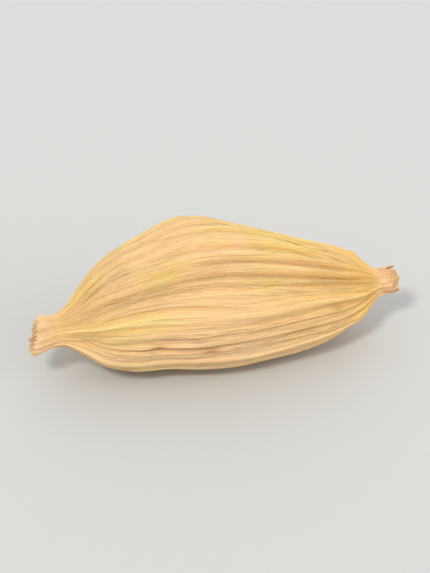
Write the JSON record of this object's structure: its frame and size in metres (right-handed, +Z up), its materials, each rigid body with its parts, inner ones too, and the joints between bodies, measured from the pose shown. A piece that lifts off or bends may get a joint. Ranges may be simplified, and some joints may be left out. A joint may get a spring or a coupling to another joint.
{
  "type": "cardamom pod",
  "caption": "Dried whole cardamom pod lying on its side: a ribbed, bluntly three-angled seed capsule with a short broken stalk stub at one end and a beaked tip at the other.",
  "frame": {"origin": "on the surface that the pod rests on, under the middle of its bounding box", "axes": "+X from the stalk end to the tip, +Z up, -Y is the side seen in the picture"},
  "size_m": [0.022, 0.0084, 0.0085],
  "materials": {
    "husk": "dry papery husk, straw coloured and matt, with fine lengthwise fibres"
  },
  "bodies": {
    "root": {"cardamom_pod": "husk"}
  },
  "joints": []
}
